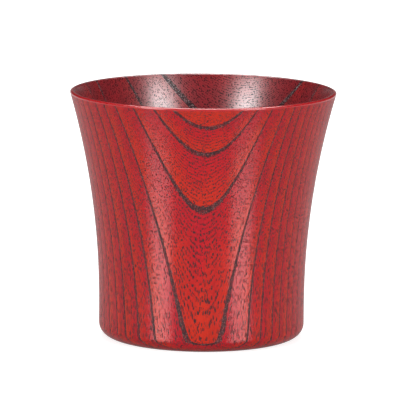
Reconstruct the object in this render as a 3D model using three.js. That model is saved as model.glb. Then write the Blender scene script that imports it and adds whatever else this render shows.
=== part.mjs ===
// A flared drinking cup, turned from one block of ring-porous wood and finished in red lacquer.
// The block is the only structural piece. Everything else is lacquer, brushed on in four goes:
// down the outside, over the inside, round the lip's outer half, and in the hollow under the foot.
// Millimetres, +Z up, origin at the middle of the face that the cup stands on.
import * as THREE from "three";

// Driving dimensions. Outer sizes and thicknesses are over the lacquer.
const LIP_DIAMETER = 88;
const HEIGHT = 82;
const LOWER_WALL_DIAMETER = 68.2;
const FLARE_START = 10.8; // height where the upright lower wall begins to lean out
const BASE_CORNER_RADIUS = 4.4;
const LIP_THICKNESS = 1.8;
const LOWER_WALL_THICKNESS = 3.9;
const FLOOR_HEIGHT = 7; // top of the floor inside, above the standing face
const INNER_CORNER_RADIUS = 12;
const STANDING_RING_WIDTH = 4.2;
const HOLLOW_DEPTH = 1.6; // of the dished hollow under the foot
const LACQUER_THICKNESS = 0.15;
const LIP_BAND = 0.2; // how far the lip's lacquer comes down the outside, below the round

// How finely the turned surfaces are stepped.
const STEPS_AROUND = 48;
const FLARE_STEPS = 6;
const CORNER_STEPS = 4;
const INNER_CORNER_STEPS = 5;
const LIP_STEPS = 4; // a quarter of the lip's round
const HOLLOW_STEPS = 3;

const QUARTER = Math.PI / 2;
const lipRadius = LIP_THICKNESS / 2; // the lip is a full round
const lipCentre = { r: LIP_DIAMETER / 2 - lipRadius, z: HEIGHT - lipRadius };
const outerWallRadius = LOWER_WALL_DIAMETER / 2;
const innerWallRadius = outerWallRadius - LOWER_WALL_THICKNESS;
const innerFlareStart = FLOOR_HEIGHT + INNER_CORNER_RADIUS;
const standingOuterRadius = outerWallRadius - BASE_CORNER_RADIUS;
const hollowRadius = standingOuterRadius - STANDING_RING_WIDTH;

// The arc that leaves an upright wall smoothly at (r, z) and runs into the lip's round.
// side is 1 outside the cup and -1 inside it.
function flare(r, z, side) {
  const out = lipCentre.r + side * lipRadius - r;
  const up = lipCentre.z - z;
  return {
    r,
    z,
    radius: (up * up + out * out) / (2 * out) - side * lipRadius,
    lean: 2 * Math.atan(out / up),
  };
}
const outerFlare = flare(outerWallRadius, FLARE_START, 1);
const innerFlare = flare(innerWallRadius, innerFlareStart, -1);

// Points on a round stretch of the profile: x is the distance from the axis, y the height.
function round(centreR, centreZ, radius, from, to, steps) {
  return Array.from({ length: steps + 1 }, (_, i) => {
    const angle = from + ((to - from) * i) / steps;
    return new THREE.Vector2(centreR + radius * Math.cos(angle), centreZ + radius * Math.sin(angle));
  });
}

// Points along a flare, from one lean to another. depth is how far they lie under the lacquer's face.
function alongFlare(arc, side, depth, fromLean, toLean, steps) {
  const centreR = arc.r + arc.radius;
  return round(centreR, arc.z, arc.radius + side * depth, Math.PI - fromLean, Math.PI - toLean, steps);
}

// Four stretches make up the cup's surface, each at a depth under the lacquer's face.
const outerBandLean = outerFlare.lean - LIP_BAND / outerFlare.radius;

function outside(depth) {
  const corner = round(
    standingOuterRadius, BASE_CORNER_RADIUS, BASE_CORNER_RADIUS - depth, -QUARTER, 0, CORNER_STEPS);
  return [...corner, ...alongFlare(outerFlare, 1, depth, 0, outerBandLean, FLARE_STEPS)];
}

function lipRound(depth, from, to, steps) {
  return round(lipCentre.r, lipCentre.z, lipRadius - depth, from, to, steps);
}

function lip(depth) {
  return [
    ...alongFlare(outerFlare, 1, depth, outerBandLean, outerFlare.lean, 1),
    ...lipRound(depth, -outerFlare.lean, 0, 1),
    ...lipRound(depth, 0, QUARTER, LIP_STEPS),
  ];
}

function inside(depth) {
  const cornerR = innerWallRadius - INNER_CORNER_RADIUS;
  return [
    ...lipRound(depth, QUARTER, Math.PI - innerFlare.lean, LIP_STEPS - 1),
    ...alongFlare(innerFlare, -1, depth, innerFlare.lean, 0, FLARE_STEPS),
    ...round(cornerR, innerFlareStart, INNER_CORNER_RADIUS + depth, 0, -QUARTER, INNER_CORNER_STEPS),
    new THREE.Vector2(0, FLOOR_HEIGHT - depth),
  ];
}

function hollow(depth) {
  return [
    new THREE.Vector2(0, HOLLOW_DEPTH + depth),
    ...round(hollowRadius - HOLLOW_DEPTH, 0, HOLLOW_DEPTH + depth, QUARTER, 0, HOLLOW_STEPS),
  ];
}

// Turns a profile about the upright axis. Neighbouring stretches share their end points.
function turn(points) {
  const closeTo = 1e-6;
  const profile = points.filter((p, i) => i === 0 || p.distanceTo(points[i - 1]) > closeTo);
  return new THREE.LatheGeometry(profile, STEPS_AROUND).rotateX(QUARTER);
}

// A coat is the space between the lacquer's face and the wood under it.
// Its profile starts and ends on the axis where it reaches it, and closes on itself where it doesn't.
function coat(stretch) {
  const face = stretch(0);
  const underside = stretch(LACQUER_THICKNESS).reverse();
  const loop = face.at(-1).x === 0 ? [...underside, ...face] : [...face, ...underside];
  if (loop[0].x !== 0) loop.push(loop[0].clone());
  return turn(loop);
}

// The block's profile runs from the hollow's middle, round the standing face and up the outside,
// over the lip and down to the middle of the floor.
function woodenBody() {
  const depth = LACQUER_THICKNESS;
  return turn([
    ...hollow(depth),
    new THREE.Vector2(standingOuterRadius, 0),
    ...outside(depth),
    ...lip(depth),
    ...inside(depth),
  ]);
}

const wood = new THREE.MeshStandardMaterial({ color: 0x9a3a2a, roughness: 0.6, metalness: 0 });
const redLacquer = new THREE.MeshStandardMaterial({ color: 0xb52a22, roughness: 0.25, metalness: 0 });
const deepLacquer = new THREE.MeshStandardMaterial({ color: 0x8a1d22, roughness: 0.2, metalness: 0 });

const cup = new THREE.Group();
function add(name, geometry, material) {
  const piece = new THREE.Mesh(geometry, material);
  piece.name = name;
  cup.add(piece);
}

add("wooden_body", woodenBody(), wood);
add("outer_lacquer", coat(outside), redLacquer);
add("lip_lacquer", coat(lip), redLacquer);
add("inner_lacquer", coat(inside), deepLacquer);
add("foot_hollow_lacquer", coat(hollow), deepLacquer);

export default cup;
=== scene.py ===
import math

import bpy
from mathutils import Matrix, Vector


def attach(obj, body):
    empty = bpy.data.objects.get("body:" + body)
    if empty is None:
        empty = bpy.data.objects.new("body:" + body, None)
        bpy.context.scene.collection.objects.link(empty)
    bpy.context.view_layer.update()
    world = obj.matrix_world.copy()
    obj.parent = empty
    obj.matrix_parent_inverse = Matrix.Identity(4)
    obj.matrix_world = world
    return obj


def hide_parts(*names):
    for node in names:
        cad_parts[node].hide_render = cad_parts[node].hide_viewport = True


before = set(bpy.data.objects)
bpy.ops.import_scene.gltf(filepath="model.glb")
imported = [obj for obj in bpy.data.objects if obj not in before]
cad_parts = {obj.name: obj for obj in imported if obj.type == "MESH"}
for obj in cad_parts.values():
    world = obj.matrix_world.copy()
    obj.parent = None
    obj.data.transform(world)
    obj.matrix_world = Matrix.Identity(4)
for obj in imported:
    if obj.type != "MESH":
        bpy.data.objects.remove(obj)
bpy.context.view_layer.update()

# The body of the cup: one block of ring-porous wood, turned inside and out on a lathe, grain upright.
# It is stained red, and stays bare only on the ring that it stands on, where it wears.
MM = 0.001
LIP_RADIUS = 44 * MM
HEIGHT = 82 * MM
LOWER_WALL_RADIUS = 34.1 * MM
FLARE_START = 10.8 * MM  # height where the upright lower wall begins to lean out
BASE_CORNER_RADIUS = 4.4 * MM
LIP_THICKNESS = 1.8 * MM
LIP_CORNER = 0.4 * MM  # radius of the lip's edges, outside and inside
LIP_DOME = 1.4 * MM  # radius of the shallow crest between them
DOME_REACH = math.radians(30)  # of the crest, to each side of its top
LOWER_WALL_THICKNESS = 3.9 * MM
FLOOR_HEIGHT = 7 * MM
INNER_CORNER_RADIUS = 12 * MM
STANDING_RING_WIDTH = 4.2 * MM
HOLLOW_DEPTH = 1.6 * MM
LACQUER_THICKNESS = 0.15 * MM
LIP_BAND = 0.2 * MM  # how far the lip's lacquer comes down the outside

# How finely the turned surfaces are stepped.
STEPS_AROUND = 320
BASE_CORNER_STEPS = 14
FLARE_STEPS = 48
LIP_BAND_STEPS = 2
LIP_CORNER_STEPS = 12
LIP_DOME_STEPS = 6
INNER_CORNER_STEPS = 20
FLOOR_STEPS = 6
HOLLOW_TOP_STEPS = 6
HOLLOW_CORNER_STEPS = 10
CREASE = math.radians(50)
WELD = 0.0015 * MM

quarter = math.pi / 2
lip_middle = LIP_RADIUS - LIP_THICKNESS / 2
lip_z = HEIGHT - LIP_DOME + (LIP_DOME - LIP_CORNER) * math.cos(DOME_REACH)
standing_radius = LOWER_WALL_RADIUS - BASE_CORNER_RADIUS
inner_wall_radius = LOWER_WALL_RADIUS - LOWER_WALL_THICKNESS
inner_flare_start = FLOOR_HEIGHT + INNER_CORNER_RADIUS
hollow_radius = standing_radius - STANDING_RING_WIDTH


def flare(r, z, side):
    """The arc that leaves an upright wall smoothly and runs into the lip's rounded corner."""
    out = lip_middle + side * LIP_THICKNESS / 2 - r
    up = lip_z - z
    return {"r": r, "z": z, "radius": (up * up + out * out) / (2 * out) - side * LIP_CORNER,
            "lean": 2 * math.atan(out / up)}


outer_flare = flare(LOWER_WALL_RADIUS, FLARE_START, 1)
inner_flare = flare(inner_wall_radius, inner_flare_start, -1)
outer_band = outer_flare["lean"] - LIP_BAND / outer_flare["radius"]


def arc(r, z, radius, start, end, steps):
    """Points on a round stretch of the profile: distance from the axis, and height."""
    angles = [start + (end - start) * i / steps for i in range(steps + 1)]
    return [(r + radius * math.cos(a), z + radius * math.sin(a)) for a in angles]


def along(curve, side, depth, start, end, steps):
    """Points along a flare, from one lean to another. depth is how far they lie under the lacquer's face."""
    r, radius = curve["r"] + curve["radius"], curve["radius"] + side * depth
    return arc(r, curve["z"], radius, math.pi - start, math.pi - end, steps)


# Four stretches make up the cup's surface, each at a depth under the lacquer's face.
def outside(depth):
    corner_radius = BASE_CORNER_RADIUS - depth
    corner = arc(standing_radius, BASE_CORNER_RADIUS, corner_radius, -quarter, 0, BASE_CORNER_STEPS)
    return corner + along(outer_flare, 1, depth, 0, outer_band, FLARE_STEPS)


def lip_half(side, depth, lean):
    """Half of the lip's round, up to its crest: a tight corner above the wall, then a shallow dome."""
    corner_r = LIP_THICKNESS / 2 - LIP_CORNER
    dome_start = quarter - DOME_REACH
    corner = arc(corner_r, lip_z, LIP_CORNER - depth, -lean, dome_start, LIP_CORNER_STEPS)
    dome = arc(0, HEIGHT - LIP_DOME, LIP_DOME - depth, dome_start, quarter, LIP_DOME_STEPS)
    return [(lip_middle + side * r, z) for r, z in corner + dome]


def lip(depth):
    lean = outer_flare["lean"]
    return along(outer_flare, 1, depth, outer_band, lean, LIP_BAND_STEPS) + lip_half(1, depth, lean)


def inside(depth):
    rim = lip_half(-1, depth, -inner_flare["lean"])[::-1]
    wall = along(inner_flare, -1, depth, inner_flare["lean"], 0, FLARE_STEPS)
    corner_r = inner_wall_radius - INNER_CORNER_RADIUS
    corner_radius = INNER_CORNER_RADIUS + depth
    corner = arc(corner_r, inner_flare_start, corner_radius, 0, -quarter, INNER_CORNER_STEPS)
    steps = range(1, FLOOR_STEPS + 1)
    floor = [(corner_r * (1 - i / FLOOR_STEPS), FLOOR_HEIGHT - depth) for i in steps]
    return rim + wall + corner + floor


def hollow(depth):
    corner_r = hollow_radius - HOLLOW_DEPTH
    top = [(corner_r * i / HOLLOW_TOP_STEPS, HOLLOW_DEPTH + depth) for i in range(HOLLOW_TOP_STEPS)]
    return top + arc(corner_r, 0, HOLLOW_DEPTH + depth, quarter, 0, HOLLOW_CORNER_STEPS)


def node(tree, kind, *values, **settings):
    """Adds a node, and links or sets its sockets in order."""
    made = tree.nodes.new(kind)
    for key, value in settings.items():
        setattr(made, key, value)
    for socket, value in zip([s for s in made.inputs if s.enabled], values):
        if isinstance(value, bpy.types.NodeSocket):
            tree.links.new(value, socket)
        elif value is not None:
            socket.default_value = value
    return made


def calc(tree, operation, *values):
    """Adds a maths node, and gives its result."""
    return node(tree, "ShaderNodeMath", *values, operation=operation).outputs[0]


# The lathe: each column of a grid takes the points of a profile drawn in the XZ plane, turned about the
# axis, and points that fall together are welded.
lathe = bpy.data.node_groups.new("lathe", "GeometryNodeTree")
lathe_socket = {}
for label, kind in (("Profile", "Geometry"), ("Steps Around", "Int"), ("Weld Distance", "Float"),
                    ("Crease Angle", "Float"), ("Finish", "Material")):
    made = lathe.interface.new_socket(label, in_out="INPUT", socket_type="NodeSocket" + kind)
    lathe_socket[label] = made.identifier
lathe.interface.new_socket("Turned Piece", in_out="OUTPUT", socket_type="NodeSocketGeometry")
given = lathe.nodes.new("NodeGroupInput").outputs
profile_points = node(lathe, "GeometryNodeAttributeDomainSize", given["Profile"]).outputs["Point Count"]
columns = calc(lathe, "ADD", given["Steps Around"], 1)
grid = node(lathe, "GeometryNodeMeshGrid", 1, 1, columns, profile_points).outputs["Mesh"]
index = lathe.nodes.new("GeometryNodeInputIndex").outputs[0]
step_along = calc(lathe, "MODULO", index, profile_points)
step_round = calc(lathe, "FLOOR", calc(lathe, "DIVIDE", index, profile_points))
angle = calc(lathe, "MULTIPLY", calc(lathe, "DIVIDE", step_round, given["Steps Around"]), 2 * math.pi)
place = lathe.nodes.new("GeometryNodeInputPosition").outputs[0]
sample = node(lathe, "GeometryNodeSampleIndex", given["Profile"], place, step_along,
              data_type="FLOAT_VECTOR")
drawn = node(lathe, "ShaderNodeSeparateXYZ", sample.outputs[0]).outputs
turned = node(lathe, "ShaderNodeCombineXYZ",
              calc(lathe, "MULTIPLY", drawn["X"], calc(lathe, "COSINE", angle)),
              calc(lathe, "MULTIPLY", drawn["X"], calc(lathe, "SINE", angle)), drawn["Z"])
moved = node(lathe, "GeometryNodeSetPosition", grid, None, turned.outputs[0]).outputs[0]
welded = node(lathe, "GeometryNodeMergeByDistance", moved, None, given["Weld Distance"]).outputs[0]
smooth = node(lathe, "GeometryNodeSetShadeSmooth", welded, None, True, domain="FACE").outputs[0]
bend = lathe.nodes.new("GeometryNodeInputMeshEdgeAngle").outputs["Unsigned Angle"]
sharp = calc(lathe, "GREATER_THAN", bend, given["Crease Angle"])
creased = node(lathe, "GeometryNodeSetShadeSmooth", smooth, sharp, False, domain="EDGE").outputs[0]
realized = node(lathe, "GeometryNodeRealizeInstances", creased).outputs[0]
finished = node(lathe, "GeometryNodeSetMaterial", realized, None, given["Finish"]).outputs[0]
node(lathe, "NodeGroupOutput", finished)


def turn_piece(name, profile, finish, cad_node):
    """Turns a closed profile into a piece that stands for a CAD node."""
    chain = bpy.data.meshes.new(name)
    edges = [(i, i + 1) for i in range(len(profile) - 1)]
    chain.from_pydata([(r, 0, z) for r, z in profile], edges, [])
    piece = bpy.data.objects.new(name, chain)
    bpy.context.scene.collection.objects.link(piece)
    modifier = piece.modifiers.new("lathe", "NODES")
    modifier.node_group = lathe
    for label, value in (("Steps Around", STEPS_AROUND), ("Weld Distance", WELD),
                         ("Crease Angle", CREASE), ("Finish", finish)):
        modifier[lathe_socket[label]] = value
    bpy.context.view_layer.update()
    evaluated = piece.evaluated_get(bpy.context.evaluated_depsgraph_get())
    mesh = bpy.data.meshes.new_from_object(evaluated)
    piece.modifiers.clear()
    piece.data = mesh
    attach(piece, "root")
    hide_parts(cad_node)


def unrepeated(profile):
    """Drops the point that two neighbouring stretches share."""
    near = WELD / 2
    return [p for i, p in enumerate(profile) if i == 0 or math.dist(p, profile[i - 1]) > near]


def shade(red, green, blue):
    """A colour given as 0 to 255 on a screen, as the linear colour that the shader takes."""
    linear = [((c / 255 + 0.055) / 1.055) ** 2.4 if c > 10 else c / 255 / 12.92 for c in (red, green, blue)]
    return (*linear, 1)


# The wood's figure, the same all through the block: a row of large pores begins each year's growth,
# and small pores follow it in wavy bands. A growth edge is a surface that leans, bows and fans out a
# little. Its depth is how far behind the axis it lies, here in millimetres, as is all of the figure.
GROWTH_EDGES = (-50, -38.91, -37.96, -36.37, -34.16, -32.09, -30.06, -27.4, -24.99, -21.8, -18.6,
                -14.8, -10, -3, 9.5, 16.2, 28.9, 38.9, 54)
# What a place's depth gains with its coordinates: lean with one of them, spread with three multiplied,
# and the others with two.
LEAN_ACROSS = 0.1322
LEAN_UP = -0.0555
BOW_ACROSS = -0.00242
BOW_UP = 0.001304
TWIST = 0.000427
FAN = 0.00437
SPREAD = 0.000088
TAPER = -0.0001
ROW_RAGGEDNESS = 0.05
ROW_SOFTNESS = 0.015
BAND_GAP = 0.28  # between two arcs of small pores, where the year's edge crosses the axis
BAND_GAP_GAIN = 0.0045  # with the depth of the year's edge
PORES_ACROSS = 2.55  # small pores to a millimetre
PORES_DEEP = 2.7
PORES_UP = 0.45
PORES_UP_GAIN = 0.0001  # with the height squared
PORE_JITTER = 0.85
# Where a pore fades out, from its middle, in the spacings of its kind.
LARGE_PORE_FADE = (0.35, 0.8)
# the fade of a painted highlight in a pore
GLINT_FADE = (0.24, 0.38)
SMALL_PORE_FADE = (0.4, 0.47)
CLOSING = (0.35, 0.7)  # from an arc's middle, 0, to halfway between two arcs, 1
CLOSED_SHARE = 0.8  # of the small pores halfway between two arcs
OPEN_SOFTNESS = 0.03
FIBRE_IN_BAND = 0.3
FIBRE_HEIGHT = 0.2  # of the fibre's relief, against a pore's depth of 1
figure = bpy.data.node_groups.new("wood_figure", "ShaderNodeTree")
for label, usual in (("Row Strength", 1), ("Late Strength", 1), ("Late Share", 0), ("Pore Count", 1),
                     ("Fibre Strength", 1)):
    made = figure.interface.new_socket(label, in_out="INPUT", socket_type="NodeSocketFloat")
    made.default_value = usual
for label in ("Growth", "Pores", "Painted Glints", "Fibre", "Height"):
    figure.interface.new_socket(label, in_out="OUTPUT", socket_type="NodeSocketFloat")
wanted = figure.nodes.new("NodeGroupInput").outputs
metres = node(figure, "ShaderNodeTexCoord").outputs["Object"]
in_mm = node(figure, "ShaderNodeVectorMath", metres, operation="SCALE")
in_mm.inputs["Scale"].default_value = 1 / MM
spot = in_mm.outputs[0]
x, y, z = node(figure, "ShaderNodeSeparateXYZ", spot).outputs


def stretched(width, depth, length, shift):
    """The place in the wood, counted in a feature's size across, into and along the grain."""
    scaled = node(figure, "ShaderNodeVectorMath", spot, (1 / width, 1 / depth, 1 / length),
                  operation="MULTIPLY").outputs[0]
    return node(figure, "ShaderNodeVectorMath", scaled, (shift, shift, shift), operation="ADD").outputs[0]


def grain_noise(across, lengthwise, detail, shift, swing=1.0):
    """Noise about zero, stretched along the grain."""
    made = node(figure, "ShaderNodeTexNoise", stretched(across, across, lengthwise, shift))
    made.inputs["Scale"].default_value = 1
    made.inputs["Detail"].default_value = detail
    return calc(figure, "MULTIPLY", calc(figure, "SUBTRACT", made.outputs[0], 0.5), swing)


def pore_cells(width, depth, length, shift):
    """How far a place is from the middle of the nearest pore, in pore spacings."""
    made = node(figure, "ShaderNodeTexVoronoi", stretched(width, depth, length, shift))
    made.inputs["Scale"].default_value = 1
    return made.outputs["Distance"]


def ease(tree, value, low, high, to_low=0.0, to_high=1.0):
    """Goes smoothly from to_low to to_high as value goes from low to high."""
    made = tree.nodes.new("ShaderNodeMapRange")
    made.interpolation_type = "SMOOTHSTEP"
    for label, setting in (("Value", value), ("From Min", low), ("From Max", high),
                           ("To Min", to_low), ("To Max", to_high)):
        if isinstance(setting, bpy.types.NodeSocket):
            tree.links.new(setting, made.inputs[label])
        else:
            made.inputs[label].default_value = setting
    return made.outputs["Result"]


# Which year's growth a place lies in, and how far into it.
slow_waver = grain_noise(across=14, lengthwise=50, detail=1, shift=0.0, swing=0.08)
quick_waver = grain_noise(across=2.2, lengthwise=12, detail=2, shift=7.3, swing=0.04)
depth_in_tree = calc(figure, "ADD", y, calc(figure, "ADD", slow_waver, quick_waver))
for amount, factors in ((LEAN_ACROSS, (x,)), (LEAN_UP, (z,)), (BOW_ACROSS, (x, x)), (BOW_UP, (z, z)),
                        (TWIST, (x, z)), (FAN, (x, y)), (SPREAD, (x, x, y)), (TAPER, (y, z))):
    product = factors[0]
    for factor in factors[1:]:
        product = calc(figure, "MULTIPLY", product, factor)
    depth_in_tree = calc(figure, "MULTIPLY_ADD", product, amount, depth_in_tree)
last_edge, next_edge = GROWTH_EDGES[0], GROWTH_EDGES[1]
for before, edge, after in zip(GROWTH_EDGES, GROWTH_EDGES[1:], GROWTH_EDGES[2:]):
    passed = calc(figure, "GREATER_THAN", depth_in_tree, edge)
    last_edge = calc(figure, "MULTIPLY_ADD", passed, edge - before, last_edge)
    next_edge = calc(figure, "MULTIPLY_ADD", passed, after - edge, next_edge)
year_width = calc(figure, "SUBTRACT", next_edge, last_edge)
since_edge = calc(figure, "SUBTRACT", depth_in_tree, last_edge)
growth = calc(figure, "DIVIDE", since_edge, year_width)
patches = grain_noise(across=5, lengthwise=22, detail=1, shift=1.4, swing=0.9)
growth = calc(figure, "ADD", growth, patches)

# The row of large pores at the year's edge. It is thin in the narrow years in front, and thicker further
# back. Between its pores the lacquer shows a little, and some pores hold a painted highlight, a pale glint.
large_cells = pore_cells(width=0.5, depth=0.3, length=1.2, shift=0.0)
depth_in_front = ease(figure, last_edge, low=-40, high=-26, to_low=0.16, to_high=0.34)
more_behind = ease(figure, last_edge, low=10, high=26, to_low=0.0, to_high=0.43)
more_at_back = ease(figure, last_edge, low=30, high=40, to_low=0.0, to_high=0.35)
row_depth = calc(figure, "ADD", calc(figure, "ADD", depth_in_front, more_at_back), more_behind)
row_left = calc(figure, "SUBTRACT", row_depth, since_edge)
ragged = calc(figure, "MULTIPLY_ADD", large_cells, -ROW_RAGGEDNESS, row_left)
row = ease(figure, ragged, -ROW_SOFTNESS, ROW_SOFTNESS)
filled = ease(figure, large_cells, *LARGE_PORE_FADE, to_low=1.0, to_high=0.7)
first_pores = calc(figure, "MULTIPLY", calc(figure, "MULTIPLY", row, filled), wanted["Row Strength"])
# Pale specks in some pores of the row are painted highlights: glints of light painted into the colour.
glint_cells = pore_cells(width=0.45, depth=0.25, length=0.6, shift=5.1)
painted_glints = calc(figure, "MULTIPLY", ease(figure, glint_cells, *GLINT_FADE, to_low=1.0, to_high=0.0), row)

# The small pores of the year's later wood, open along swaying arcs and mostly closed between them.
band_gap = calc(figure, "MULTIPLY_ADD", last_edge, BAND_GAP_GAIN, BAND_GAP)
slow_sway = grain_noise(across=4, lengthwise=30, detail=1, shift=3.1, swing=0.12)
quick_sway = grain_noise(across=1.5, lengthwise=8, detail=1, shift=9.7, swing=0.06)
swaying = calc(figure, "ADD", since_edge, calc(figure, "ADD", slow_sway, quick_sway))
in_band = calc(figure, "FRACT", calc(figure, "DIVIDE", swaying, band_gap))
off_band = calc(figure, "MULTIPLY", calc(figure, "ABSOLUTE", calc(figure, "SUBTRACT", in_band, 0.5)), 2)
count_across = calc(figure, "MULTIPLY", x, PORES_ACROSS)
count_deep = calc(figure, "MULTIPLY", y, PORES_DEEP)
crowding = calc(figure, "MULTIPLY_ADD", calc(figure, "MULTIPLY", z, z), PORES_UP_GAIN, PORES_UP)
count_up = calc(figure, "MULTIPLY", crowding, z)
packed = node(figure, "ShaderNodeCombineXYZ", count_across, count_deep, count_up).outputs[0]
small_cells = node(figure, "ShaderNodeTexVoronoi", packed)
figure.links.new(wanted["Pore Count"], small_cells.inputs["Scale"])
small_cells.inputs["Randomness"].default_value = PORE_JITTER
chance = node(figure, "ShaderNodeSeparateXYZ", small_cells.outputs["Color"]).outputs["X"]
closed = ease(figure, off_band, *CLOSING, to_low=0.0, to_high=CLOSED_SHARE)
closed = calc(figure, "SUBTRACT", closed, wanted["Late Share"])
is_open = ease(figure, calc(figure, "SUBTRACT", chance, closed), -OPEN_SOFTNESS, OPEN_SOFTNESS)
late_pores = ease(figure, small_cells.outputs["Distance"], *SMALL_PORE_FADE,
                  to_low=wanted["Late Strength"], to_high=0.0)
late_pores = calc(figure, "MULTIPLY", late_pores, is_open)
pores = calc(figure, "MAXIMUM", first_pores, late_pores)

# The fibre between the pores, as fine streaks along the grain, paler between the arcs.
fine_streaks = grain_noise(across=0.35, lengthwise=14, detail=2, shift=0.0)
broad_streaks = grain_noise(across=1.6, lengthwise=60, detail=1, shift=2.2, swing=0.6)
fibre = calc(figure, "SUBTRACT", calc(figure, "ADD", fine_streaks, broad_streaks), FIBRE_IN_BAND / 2)
fibre = calc(figure, "MULTIPLY_ADD", off_band, FIBRE_IN_BAND, fibre)
fibre = calc(figure, "MULTIPLY", fibre, wanted["Fibre Strength"])
relief = calc(figure, "SUBTRACT", calc(figure, "MULTIPLY", fibre, FIBRE_HEIGHT), pores)
node(figure, "NodeGroupOutput", growth, pores, painted_glints, fibre, relief)


def mixed(tree, amount, first, second):
    """Mixes two colours."""
    made = node(tree, "ShaderNodeMix", amount, first, second, data_type="RGBA", clamp_factor=True)
    return next(s for s in made.outputs if s.enabled)


PORE_DEPTH = 0.05 * MM
PORE_ROUGHNESS = 0.3  # added where a pore opens
PORE_COAT_LOSS = 0.7  # share of the clear coat that a pore lacks
COAT_ROUGHNESS = 0.275


def figured_finish(name, colours, pore, painted_glint, roughness, specular, coat, coat_ior, bump, **strengths):
    """A finish that the wood's figure shows through. colours go from the year's edge to its end.
    strengths are those inputs of the figure that aren't as usual."""
    finish = bpy.data.materials.new(name)
    finish.use_nodes = True
    tree = finish.node_tree
    tree.nodes.clear()
    grain = node(tree, "ShaderNodeGroup", node_tree=figure)
    for label, strength in strengths.items():
        grain.inputs[label.replace("_", " ").title()].default_value = strength
    growing = node(tree, "ShaderNodeValToRGB", grain.outputs["Growth"])
    stops = growing.color_ramp.elements
    for i, (position, colour) in enumerate(colours):
        stop = stops[i] if i < 2 else stops.new(position)
        stop.position, stop.color = position, colour
    streaked = node(tree, "ShaderNodeHueSaturation")
    tree.links.new(growing.outputs[0], streaked.inputs["Color"])
    tree.links.new(calc(tree, "ADD", grain.outputs["Fibre"], 1), streaked.inputs["Value"])
    bumped = node(tree, "ShaderNodeBump")
    bumped.inputs["Strength"].default_value = bump
    bumped.inputs["Distance"].default_value = PORE_DEPTH
    tree.links.new(grain.outputs["Height"], bumped.inputs["Height"])
    in_pores = grain.outputs["Pores"]
    # A pore is dark, and where a glint is painted in, it takes the pale colour of a painted highlight.
    pore_and_glint_colour = mixed(tree, grain.outputs["Painted Glints"], pore, painted_glint)
    shader = node(tree, "ShaderNodeBsdfPrincipled")
    for label, value in (("Base Color", mixed(tree, in_pores, streaked.outputs[0], pore_and_glint_colour)),
                         ("Roughness", calc(tree, "MULTIPLY_ADD", in_pores, PORE_ROUGHNESS, roughness)),
                         ("Coat Weight", calc(tree, "MULTIPLY_ADD", in_pores, -PORE_COAT_LOSS * coat, coat)),
                         ("Normal", bumped.outputs[0])):
        tree.links.new(value, shader.inputs[label])
    shader.inputs["Specular IOR Level"].default_value = specular
    shader.inputs["Coat Roughness"].default_value = COAT_ROUGHNESS
    shader.inputs["Coat IOR"].default_value = coat_ior
    node(tree, "ShaderNodeOutputMaterial", shader.outputs[0])
    return finish


# The pale colour for some pores, here and in the finishes below, is a painted highlight.
bare_wood = figured_finish(
    "bare_wood", [(0, shade(140, 56, 40)), (1, shade(170, 84, 56))], pore=shade(70, 30, 24),
    painted_glint=shade(120, 70, 56), roughness=0.6, specular=0.3, coat=0, coat_ior=1.5, bump=0.5,
    late_strength=0.7, fibre_strength=0.3)
block = unrepeated(hollow(LACQUER_THICKNESS) + [(standing_radius, 0)] + outside(LACQUER_THICKNESS)
                   + lip(LACQUER_THICKNESS) + inside(LACQUER_THICKNESS))
turn_piece("wooden_cup_body", block, bare_wood, "wooden_body")

# The lacquer down the outside: thin translucent red coats rubbed into the wood, so that its rings show.
# It runs from under the lip's band, round the corner of the base, to the standing ring.
# Its pale pore colour is a painted highlight in the pores.
outer_finish = figured_finish(
    "outer_red_lacquer", [(0, shade(188, 6, 32)), (0.45, shade(197, 12, 24)), (1, shade(208, 38, 12))],
    pore=shade(44, 16, 22), painted_glint=shade(135, 95, 90), roughness=0.26, specular=0.5, coat=0, coat_ior=1.5,
    bump=0.06, fibre_strength=0.4)
outer_loop = outside(0) + outside(LACQUER_THICKNESS)[::-1]
turn_piece("outer_lacquer_coat", unrepeated(outer_loop + outer_loop[:1]), outer_finish,
           "outer_lacquer")

# The lacquer inside: thicker and deeper red, from the lip's crest over the wall, the corner and the floor.
# Its gloss is higher, because a drinking cup is sealed best where the drink is.
deep_reds = [(0, shade(150, 4, 26)), (0.45, shade(161, 4, 24)), (1, shade(172, 6, 20))]
# Its pale pinkish pore colour is a painted highlight in the pores.
inner_finish = figured_finish(
    "inner_red_lacquer", deep_reds, pore=shade(34, 8, 16), painted_glint=shade(190, 170, 170), roughness=0.36,
    specular=0.25, coat=1, coat_ior=2.15, bump=0.25, late_share=0.04, pore_count=0.72, fibre_strength=0.9)
turn_piece("inner_lacquer_coat", unrepeated(inside(LACQUER_THICKNESS)[::-1] + inside(0)), inner_finish,
           "inner_lacquer")

# The lip's lacquer: a plain red coat, built up over the outer half of the lip until no grain shows.
# It is brushed on last and laps a little way down the outside.
lip_finish = bpy.data.materials.new("plain_red_lacquer")
lip_finish.use_nodes = True
lip_shader = lip_finish.node_tree.nodes["Principled BSDF"]
for label, value in (("Base Color", shade(200, 12, 24)), ("Roughness", 0.25), ("Coat Weight", 0.8),
                     ("Coat Roughness", 0.12), ("Coat IOR", 1.6)):
    lip_shader.inputs[label].default_value = value
lip_loop = lip(0) + lip(LACQUER_THICKNESS)[::-1]
turn_piece("lip_lacquer_coat", unrepeated(lip_loop + lip_loop[:1]), lip_finish, "lip_lacquer")

# The lacquer in the shallow hollow that is turned under the foot, so that only the ring touches the table.
# It is the deep red of the inside, in fewer coats.
# Its pale pore colour is a painted highlight in the pores.
foot_finish = figured_finish(
    "foot_red_lacquer", deep_reds, pore=shade(44, 14, 22), painted_glint=shade(110, 60, 60), roughness=0.35,
    specular=0.35, coat=0.3, coat_ior=1.5, bump=0.2, row_strength=0.9, late_strength=0.6, fibre_strength=0.3)
turn_piece("foot_lacquer_coat", unrepeated(hollow(0) + hollow(LACQUER_THICKNESS)[::-1]), foot_finish,
           "foot_hollow_lacquer")

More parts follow.
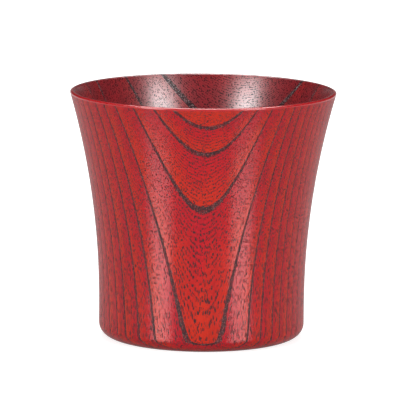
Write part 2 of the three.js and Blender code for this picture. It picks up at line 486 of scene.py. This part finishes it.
# The table: a wide white sheet under the cup, which takes its shadow. Near the cup its white is dimmed
# a little for the shadow's sake, and the lacquer mirrors it more faintly than the camera sees it.
TABLE_REACH = 3.0
SHEET_POLISH = 0.1  # roughness, as the lacquer mirrors it
SHEET_FALLOFF = 1.5  # how fast its shine grows towards grazing
SHADE_START, SHADE_END = 30 * MM, 200 * MM
NEAR_WHITE = 0.8
MIRRORED_WHITE = 0.55
table_mesh = bpy.data.meshes.new("table")
table_corners = [(-1, -1), (1, -1), (1, 1), (-1, 1)]
table_mesh.from_pydata([(TABLE_REACH * i, TABLE_REACH * j, 0) for i, j in table_corners], [], [(0, 1, 2, 3)])
table = bpy.data.objects.new("table", table_mesh)
bpy.context.scene.collection.objects.link(table)
paper = bpy.data.materials.new("white_paper")
paper.use_nodes = True
paper_tree = paper.node_tree
paper_tree.nodes.clear()
table_path = node(paper_tree, "ShaderNodeLightPath").outputs
dull = node(paper_tree, "ShaderNodeBsdfDiffuse", shade(192, 192, 192)).outputs[0]
facing_away = node(paper_tree, "ShaderNodeLayerWeight", 0.5).outputs["Facing"]
shine = calc(paper_tree, "POWER", facing_away, SHEET_FALLOFF)
polished = node(paper_tree, "ShaderNodeBsdfAnisotropic", shine, SHEET_POLISH)
sheet = node(paper_tree, "ShaderNodeMixShader", table_path["Is Glossy Ray"], dull, polished.outputs[0])
table_place = node(paper_tree, "ShaderNodeTexCoord").outputs["Object"]
table_far = node(paper_tree, "ShaderNodeVectorMath", table_place, operation="LENGTH").outputs["Value"]
whiteness = ease(paper_tree, table_far, SHADE_START, SHADE_END, to_low=NEAR_WHITE, to_high=1.0)
table_mirrored = calc(paper_tree, "MAXIMUM", table_path["Is Glossy Ray"], table_path["Is Transmission Ray"])
table_seen = calc(paper_tree, "MAXIMUM", table_path["Is Camera Ray"],
                  calc(paper_tree, "MULTIPLY", table_mirrored, MIRRORED_WHITE))
shining = calc(paper_tree, "MULTIPLY", table_seen, whiteness)
glow = node(paper_tree, "ShaderNodeEmission", (1, 1, 1, 1), shining)
both = node(paper_tree, "ShaderNodeAddShader", sheet.outputs[0], glow.outputs[0])
node(paper_tree, "ShaderNodeOutputMaterial", both.outputs[0])
table_mesh.materials.append(paper)

# The light: a white room, which is darker overhead and behind, and three large soft lamps. Two stand in
# front, to the left and right, and one hangs high behind and draws the line along the lip.
ROOM_LIGHT = 0.25  # what the walls give to the cup's colours
CEILING = 0.03  # how bright the lacquer mirrors it
BACK_WALL = 0.35
LAMP_DISTANCE = 2.0
world = bpy.data.worlds.new("white_room")
bpy.context.scene.world = world
world.use_nodes = True
room = world.node_tree
room.nodes.clear()
path = node(room, "ShaderNodeLightPath").outputs
mirrored = calc(room, "MAXIMUM", path["Is Glossy Ray"], path["Is Transmission Ray"])
direction = node(room, "ShaderNodeTexCoord").outputs["Generated"]
towards = node(room, "ShaderNodeSeparateXYZ", direction).outputs
behind = ease(room, towards["Y"], low=0.3, high=0.8, to_low=1.0, to_high=BACK_WALL)
walls = ease(room, towards["Z"], low=0.04, high=0.2, to_low=behind, to_high=CEILING)
lit = node(room, "ShaderNodeMix", mirrored, ROOM_LIGHT, walls).outputs[0]
strength = node(room, "ShaderNodeMix", path["Is Camera Ray"], lit, 1.0).outputs[0]
air = node(room, "ShaderNodeBackground", (1, 1, 1, 1), strength)
node(room, "ShaderNodeOutputWorld", air.outputs[0])


def soft_lamp(name, azimuth, elevation, width, height, radiance):
    """A rectangle of light that faces the cup. Azimuth 0 is in front, and grows to the right."""
    a, e = math.radians(azimuth), math.radians(elevation)
    lamp = bpy.data.lights.new(name, "AREA")
    lamp.shape = "RECTANGLE"
    lamp.size, lamp.size_y, lamp.energy = width, height, radiance * math.pi * width * height
    placed = bpy.data.objects.new(name, lamp)
    back = Vector((math.sin(a) * math.cos(e), -math.cos(a) * math.cos(e), math.sin(e)))
    placed.location = Vector((0, 0, HEIGHT / 2)) + back * LAMP_DISTANCE
    placed.rotation_euler = back.to_track_quat("Z", "Y").to_euler()
    bpy.context.scene.collection.objects.link(placed)


soft_lamp("left_lamp", azimuth=-45.5, elevation=19, width=0.72, height=0.84, radiance=10)
soft_lamp("right_lamp", azimuth=43.5, elevation=19, width=0.72, height=0.84, radiance=9.6)
soft_lamp("back_lamp", azimuth=180, elevation=60, width=1.4, height=0.5, radiance=9)

# The camera: a long lens, a little above the lip, turned by the small tilt that the photograph has.
AIM = Vector((-0.788 * MM, 0, 45.31 * MM))
AWAY = 1368.9 * MM
LOOK_DOWN = 0.1611  # radians, as is the tilt
TILT = 0.0086
SENSOR_WIDTH = 36
FOCAL_PIXELS, PICTURE_PIXELS = 4127, 400
lens = bpy.data.cameras.new("long_lens")
lens.sensor_width = SENSOR_WIDTH
lens.lens = SENSOR_WIDTH * FOCAL_PIXELS / PICTURE_PIXELS
lens.clip_start, lens.clip_end = 0.1, 20
camera = bpy.data.objects.new("camera", lens)
bpy.context.scene.collection.objects.link(camera)
bpy.context.scene.camera = camera
back = Vector((0, -math.cos(LOOK_DOWN), math.sin(LOOK_DOWN)))
facing = back.to_track_quat("Z", "Y").to_matrix().to_4x4()
camera.matrix_world = Matrix.Translation(AIM + back * AWAY) @ facing @ Matrix.Rotation(TILT, 4, "Z")

bpy.context.scene.view_settings.view_transform = "Standard"
